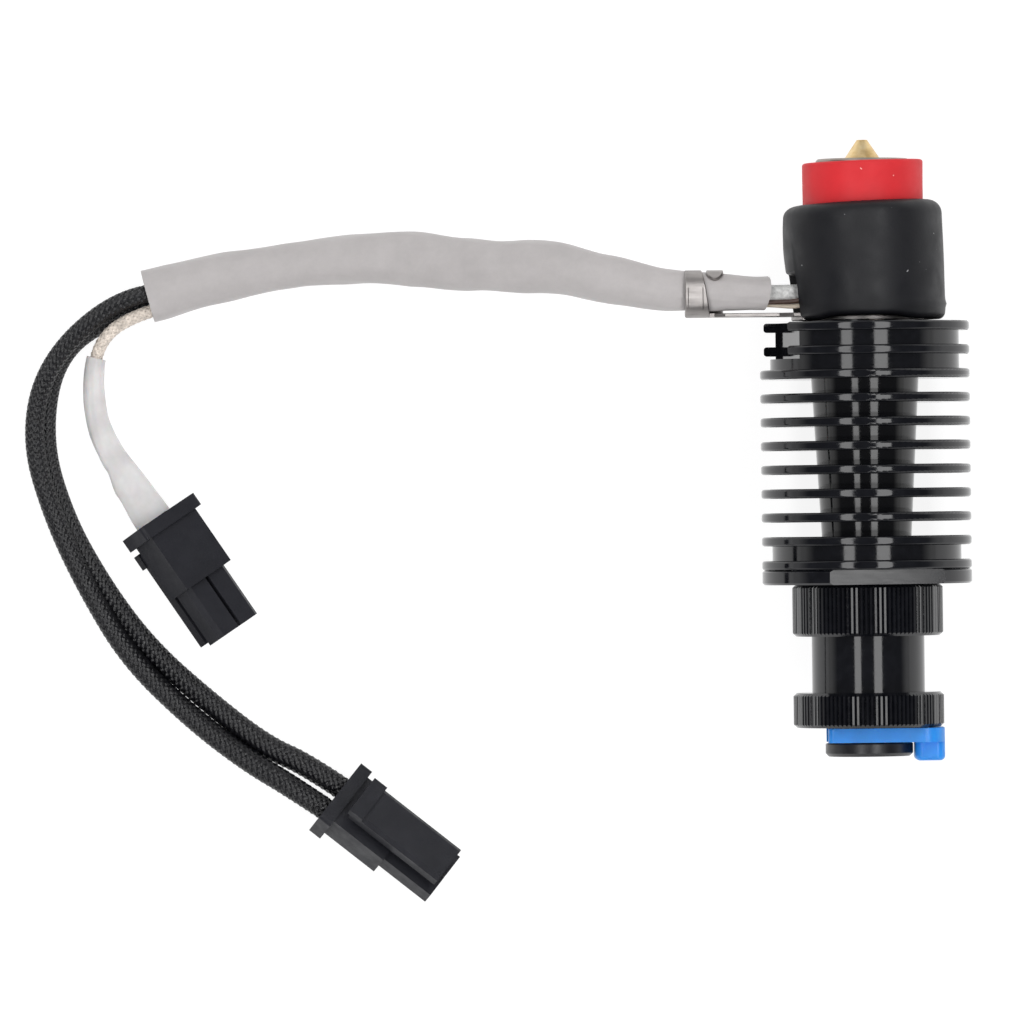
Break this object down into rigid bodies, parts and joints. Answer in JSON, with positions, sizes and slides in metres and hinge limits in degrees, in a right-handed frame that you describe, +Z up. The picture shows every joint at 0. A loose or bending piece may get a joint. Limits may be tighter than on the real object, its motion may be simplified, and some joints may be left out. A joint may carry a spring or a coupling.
{
  "type": "3d printer hotend",
  "caption": "All-metal filament hot end with finned cold side, groove neck, tube collet with locking clip, silicone covers and two plugged leads.",
  "frame": {"origin": "centre of the groove neck on the filament axis", "axes": "+Y along the filament path towards the nozzle, -Y out of the tube collet, +Z up, +X away from the wiring"},
  "size_m": [0.1003, 0.0806, 0.0222],
  "materials": {
    "black_anodised": "satin black anodised",
    "brass": "machined",
    "plated_copper": "nickel plated",
    "steel": "brushed",
    "nickel_sheet": "nickel plated, lightly worn",
    "heater_ceramic": "matte",
    "sensor_glass": "glazed",
    "red_silicone": "matte",
    "black_silicone": "matte",
    "gray_sleeving": "matte knitted",
    "black_braid": "braided",
    "cream_braid": "braided",
    "white_shrink": "satin",
    "mottled_fibre": "woven glass fibre",
    "dark_wire": "satin",
    "light_wire": "satin",
    "black_nylon": "fine moulded texture",
    "contact_metal": "tin plated",
    "blue_plastic": "moulded",
    "black_acetal": "moulded"
  },
  "bodies": {
    "main": {"heatsink": "black_anodised", "groove_adapter": "black_anodised", "coupler_ring": "brass", "heat_break": "steel", "nozzle": "brass", "melt_block": "plated_copper", "ceramic_heater": "heater_ceramic", "front_cap": "steel", "thermistor_bead": "sensor_glass", "support_posts": "steel", "strain_relief_bracket": "nickel_sheet", "bracket_screws": "steel", "gray_sleeve": "gray_sleeving", "heater_lead_a": "black_braid", "heater_lead_b": "black_braid", "thermistor_lead": "cream_braid", "label_sleeve": "white_shrink", "wire_splices": "contact_metal", "heater_fibre_sleeve": "mottled_fibre", "thermistor_wire_dark": "dark_wire", "thermistor_wire_light": "light_wire", "thermistor_housing": "black_nylon", "heater_housing": "black_nylon", "thermistor_terminals": "contact_metal", "heater_terminals": "contact_metal"},
    "sock": {"nozzle_sock": "red_silicone"},
    "boot": {"heater_boot": "black_silicone"},
    "tube_collet": {"collet": "black_acetal", "collet_teeth": "steel"},
    "clip": {"collet_clip": "blue_plastic"},
    "sensor_lever": {"thermistor_latch": "black_nylon"},
    "heater_lever": {"heater_latch": "black_nylon"}
  },
  "joints": [
    {"name": "sock_pull", "type": "slide", "parent": "main", "child": "sock", "axis": [0, 1, 0], "range_m": [0, 0.012]},
    {"name": "boot_pull", "type": "slide", "parent": "main", "child": "boot", "axis": [0, 1, 0], "range_m": [0, 0.022]},
    {"name": "collet_spin", "type": "hinge", "parent": "main", "child": "tube_collet", "pos_m": [0, 0, 0], "axis": [0, 1, 0], "continuous": true},
    {"name": "clip_pull", "type": "slide", "parent": "tube_collet", "child": "clip", "axis": [1, 0, 0], "range_m": [0, 0.012]},
    {"name": "thermistor_latch_rock", "type": "hinge", "parent": "main", "child": "sensor_lever", "pos_m": [-0.07214, 0.00896, -0.00752], "axis": [0.7198, 0.4816, -0.5], "range_deg": [0, 7], "stiffness_Nm_per_rad": 0.2},
    {"name": "heater_latch_rock", "type": "hinge", "parent": "main", "child": "heater_lever", "pos_m": [-0.04987, -0.01782, -0.00455], "axis": [-0.5712, -0.7129, 0.4067], "range_deg": [0, 7], "stiffness_Nm_per_rad": 0.2}
  ]
}
